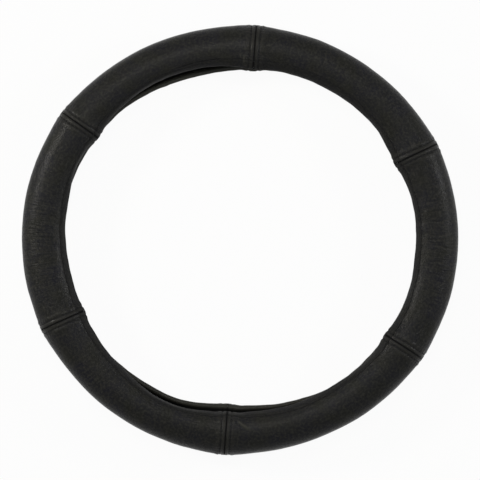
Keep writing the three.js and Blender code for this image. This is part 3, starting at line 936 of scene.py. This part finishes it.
def leather_grain_group():
    """Height, patches and mottle of pebbled leather, from its flat place."""
    group = bpy.data.node_groups.new("leather_grain", "ShaderNodeTree")
    for name, kind in (("Place", "Vector"), ("Pebble", "Float"), ("Wrinkled", "Float")):
        group.interface.new_socket(name, in_out="INPUT", socket_type=f"NodeSocket{kind}")
    for name in ("Height", "Patches", "Mottle"):
        group.interface.new_socket(name, in_out="OUTPUT", socket_type="NodeSocketFloat")
    given = group.nodes.new("NodeGroupInput").outputs
    result = group.nodes.new("NodeGroupOutput").inputs
    place, is_wrinkled = given["Place"], given["Wrinkled"]
    warp = noise(group, place, WARP_SCALE)["Color"]
    warped = add_node(group, "ShaderNodeVectorMath", {0: warp, 1: WARP_REACH, 2: place},
                      operation="MULTIPLY_ADD").outputs[0]
    pebble = add_node(group, "ShaderNodeTexVoronoi", {"Vector": warped, "Scale": given["Pebble"]},
                      feature="DISTANCE_TO_EDGE").outputs["Distance"]
    valley = mapped(group, pebble, 0, VALLEY_WIDTH, curve="SMOOTHSTEP")
    pore = noise(group, place, PORE_SCALE, detail=3)["Fac"]
    mottle = noise(group, warped, MOTTLE_SCALE, roughness=0.7)["Fac"]
    stretched = add_node(group, "ShaderNodeMapping", {"Vector": warped, "Scale": WRINKLE_STRETCH})
    crease = noise(group, stretched.outputs["Vector"], 1, detail=1)["Fac"]
    wrinkle = calculate(group, "MULTIPLY", crease, is_wrinkled)
    height = weighted(group, (valley, VALLEY_HEIGHT), (pore, PORE_HEIGHT),
                      (mottle, MOTTLE_HEIGHT), (wrinkle, WRINKLE_HEIGHT))
    lines = calculate(group, "MULTIPLY", calculate(group, "SUBTRACT", crease, 0.5), is_wrinkled)
    feed(group, result["Height"], height)
    feed(group, result["Mottle"], weighted(group, (mottle, 1), (lines, WRINKLE_IN_MOTTLE)))
    feed(group, result["Patches"], noise(group, place, PATCH_SCALE, detail=4)["Fac"])
    return group


leather_grain = leather_grain_group()
print("group:", leather_grain.name, len(leather_grain.nodes), "nodes")

# %% The leather
WARM_BLACK, COOL_BLACK = (0.0046, 0.0046, 0.0030, 1), (0.0032, 0.0032, 0.0056, 1)
# The first grey is the pebbles' paler tone and the wear on the welts, and also painted light; the
# second, paler grey is only painted light.
WEAR_AND_LIGHT_GREY, PAINTED_LIGHT_GREY = (0.0190, 0.0185, 0.0152, 1), (0.042, 0.042, 0.034, 1)
# The near black is painted shade.
PAINTED_SHADE_BLACK = (0.0015, 0.0015, 0.0015, 1)
PEBBLE_SCALE = 78
PATCH_RANGE, MOTTLE_RANGE = (0.35, 0.65), (0.43, 0.73)
WEAR_AND_LIGHT_SHARE, PAINTED_SHADE_SHARE = 0.62, 0.95
ROUGH_IN_VALLEYS, ROUGH_ON_PEBBLES, ROUGHER_WHERE_SUNK = 0.38, 0.28, 0.6
GRAIN_DEPTH = 0.00015


def leather_material():
    material, tree, shader = new_material("black_leather")
    place = add_node(tree, "ShaderNodeUVMap", uv_map="flat").outputs[0]
    inputs = {"Place": place, "Pebble": PEBBLE_SCALE, "Wrinkled": attribute(tree, "wrinkled")}
    grain = add_node(tree, "ShaderNodeGroup", inputs, node_tree=leather_grain).outputs
    wear_and_painted_light, painted_shade = attribute(tree, "wear_and_painted_light"), attribute(tree, "painted_shade")
    patches = mapped(tree, grain["Patches"], *PATCH_RANGE)
    mottle = mapped(tree, grain["Mottle"], *MOTTLE_RANGE)
    colour = blended(tree, WARM_BLACK, COOL_BLACK, patches)
    colour = blended(tree, colour, WEAR_AND_LIGHT_GREY, mottle)
    # Wear on the welts and the hem's roll, together with painted light on the back lip and painted
    # highlight on the crease crests.
    colour = blended(tree, colour, WEAR_AND_LIGHT_GREY, calculate(tree, "MULTIPLY", wear_and_painted_light, WEAR_AND_LIGHT_SHARE))
    # Painted shade in the seams, the rows of stitching, the front lip and the channel inside the
    # lips.
    colour = blended(tree, colour, PAINTED_SHADE_BLACK, calculate(tree, "MULTIPLY", painted_shade, PAINTED_SHADE_SHARE))
    # Paler painted light on the back lip and the crease crests.
    colour = blended(tree, colour, PAINTED_LIGHT_GREY, attribute(tree, "painted_light"))
    gloss = mapped(tree, grain["Height"], 0, 1, ROUGH_IN_VALLEYS, ROUGH_ON_PEBBLES)
    matt = calculate(tree, "MULTIPLY", painted_shade, ROUGHER_WHERE_SUNK)
    feed(tree, shader["Base Color"], colour)
    feed(tree, shader["Roughness"], calculate(tree, "ADD", gloss, matt))
    feed(tree, shader["Specular IOR Level"], 0.1)
    feed(tree, shader["Normal"], bumped(tree, grain["Height"], GRAIN_DEPTH, 1))
    return material


finish_with(leather_panels, leather_material())

# %% The rubber
RUBBER_DARK, RUBBER_PALE = (0.002, 0.002, 0.002, 1), (0.006, 0.006, 0.0055, 1)
SPECKLE_SCALE, RIB_SCALE, RUBBER_RELIEF = 900, 180, 0.0003


def rubber_material():
    material, tree, shader = new_material("moulded_rubber")
    place = add_node(tree, "ShaderNodeTexCoord").outputs["Object"]
    speckle = noise(tree, place, SPECKLE_SCALE)["Fac"]
    ribs = calculate(tree, "SINE", calculate(tree, "MULTIPLY", attribute(tree, "turn"), RIB_SCALE))
    height = calculate(tree, "ADD", ribs, speckle)
    feed(tree, shader["Base Color"], blended(tree, RUBBER_DARK, RUBBER_PALE, speckle))
    feed(tree, shader["Roughness"], 0.8)
    feed(tree, shader["Specular IOR Level"], 0.12)
    feed(tree, shader["Normal"], bumped(tree, height, RUBBER_RELIEF, 0.4))
    return material


finish_with([rubber_ring], rubber_material())

# %% The thread
THREAD_DARK, THREAD_PALE = (0.006, 0.006, 0.006, 1), (0.009, 0.009, 0.0095, 1)
TWIST_SCALE, TWIST_DISTORTION, TWIST_RELIEF = 700, 1.5, 0.0001


def thread_material():
    material, tree, shader = new_material("waxed_thread")
    place = add_node(tree, "ShaderNodeTexCoord").outputs["Object"]
    inputs = {"Vector": place, "Scale": TWIST_SCALE, "Distortion": TWIST_DISTORTION}
    twist = add_node(tree, "ShaderNodeTexWave", inputs, wave_type="BANDS",
                     bands_direction="DIAGONAL").outputs["Fac"]
    feed(tree, shader["Base Color"], blended(tree, THREAD_DARK, THREAD_PALE, twist))
    feed(tree, shader["Roughness"], 0.5)
    feed(tree, shader["Specular IOR Level"], 0.1)
    feed(tree, shader["Normal"], bumped(tree, twist, TWIST_RELIEF, 0.5))
    return material


finish_with(sewing, thread_material())

# %% [markdown]
# ## What belongs to what
# Every piece stays with the one body of the cover.

for piece, finish in ([(panel, "leather") for panel in leather_panels]
                      + [(row, "thread") for row in sewing] + [(rubber_ring, "rubber")]):
    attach(piece, "root")

# %% [markdown]
# ## Floor, light and camera
# The cover lies on a plain white floor and is seen straight from above. The light is a
# soft lamp beyond the top of the ring, with a weak one above it. Two low lamps, the left
# one stronger, draw the long highlights on both sides of the ring. The pale surround is
# even, so that black leather shows its shape by soft highlights only.

# %% The floor
FLOOR_SIZE, FLOOR_GREY, FLOOR_GLOW = 6, (0.65, 0.65, 0.65, 1), 0.95


def seen_as_background(tree):
    """1 for the camera and for what is mirrored or seen through glass, 0 for soft light."""
    ray = add_node(tree, "ShaderNodeLightPath").outputs
    seen = calculate(tree, "MAXIMUM", ray["Is Camera Ray"], ray["Is Glossy Ray"])
    return calculate(tree, "MAXIMUM", seen, ray["Is Transmission Ray"])


def white_floor_material():
    material, tree, shader = new_material("white_floor")
    for name, value in (("Base Color", FLOOR_GREY), ("Roughness", 1), ("Specular IOR Level", 0)):
        feed(tree, shader[name], value)
    plain = tree.nodes["Principled BSDF"].outputs[0]
    glow = add_node(tree, "ShaderNodeEmission", {"Color": (1, 1, 1, 1)}).outputs[0]
    share = calculate(tree, "MULTIPLY", seen_as_background(tree), FLOOR_GLOW)
    blend = add_node(tree, "ShaderNodeMixShader", {0: share, 1: plain, 2: glow}).outputs[0]
    feed(tree, tree.nodes["Material Output"].inputs["Surface"], blend)
    return material


select_nothing()
bpy.ops.mesh.primitive_plane_add(size=FLOOR_SIZE, location=(0, 0, 0))
floor = bpy.context.object
floor.name = "floor"
floor.data.materials.append(white_floor_material())
print("floor:", FLOOR_SIZE, "m wide")

# %% The surround
SURROUND_COLOUR = (0.96, 0.98, 1, 1)
SURROUND_LIGHT, SURROUND_SEEN_EXTRA = 0.16, 0.84
world = bpy.data.worlds.new("studio")
bpy.context.scene.world = world
world.use_nodes = True
sky = world.node_tree.nodes["Background"].inputs
extra = calculate(world.node_tree, "MULTIPLY", seen_as_background(world.node_tree),
                  SURROUND_SEEN_EXTRA)
feed(world.node_tree, sky["Color"], SURROUND_COLOUR)
feed(world.node_tree, sky["Strength"],
     calculate(world.node_tree, "ADD", extra, SURROUND_LIGHT))
print("surround:", world.name)

# %% The lamps, in metres and watts
WARM, PLAIN = (1, 0.97, 0.9), (1, 1, 1)
LAMPS = [("lamp_top", (-0.2, 0.9, 2.0), 0.8, 14, WARM),
         ("lamp_above", (0.1, -0.1, 2.3), 1.4, 3, PLAIN),
         ("lamp_left", (-1.65, 0.55, 0.92), 0.4, 27, WARM),
         ("lamp_right", (1.7, 0.35, 0.78), 0.4, 16, PLAIN)]


def soft_lamp(name, place, size, power, colour):
    """A round lamp that looks at the middle of the floor."""
    select_nothing()
    bpy.ops.object.light_add(type="AREA", location=place)
    lamp = bpy.context.object
    lamp.name = name
    lamp.data.shape = "DISK"
    lamp.data.size = size
    lamp.data.energy = power
    lamp.data.color = colour
    away = math.hypot(place[0], place[1])
    lamp.rotation_euler = (math.atan2(away, place[2]), 0, math.atan2(place[0], -place[1]))


for lamp_values in LAMPS:
    soft_lamp(*lamp_values)
print("lamps:", [lamp_values[0] for lamp_values in LAMPS])

# %% The camera, straight above the middle of the ring
MM_PER_PIXEL, PICTURE_PIXELS = 0.8945, 480
CAMERA_DISTANCE, SENSOR_WIDTH = 5.0, 36
frame_width = PICTURE_PIXELS * MM_PER_PIXEL / 1000
camera_data = bpy.data.cameras.new("camera")
camera = bpy.data.objects.new("camera", camera_data)
bpy.context.collection.objects.link(camera)
camera.location = (0, 0, CAMERA_DISTANCE + TUBE_MIDDLE_HEIGHT / 1000)
camera_data.sensor_width = SENSOR_WIDTH
camera_data.lens = SENSOR_WIDTH * CAMERA_DISTANCE / frame_width
bpy.context.scene.camera = camera
bpy.context.scene.view_settings.view_transform = "Standard"
print("lens", round(camera_data.lens, 1), "mm")
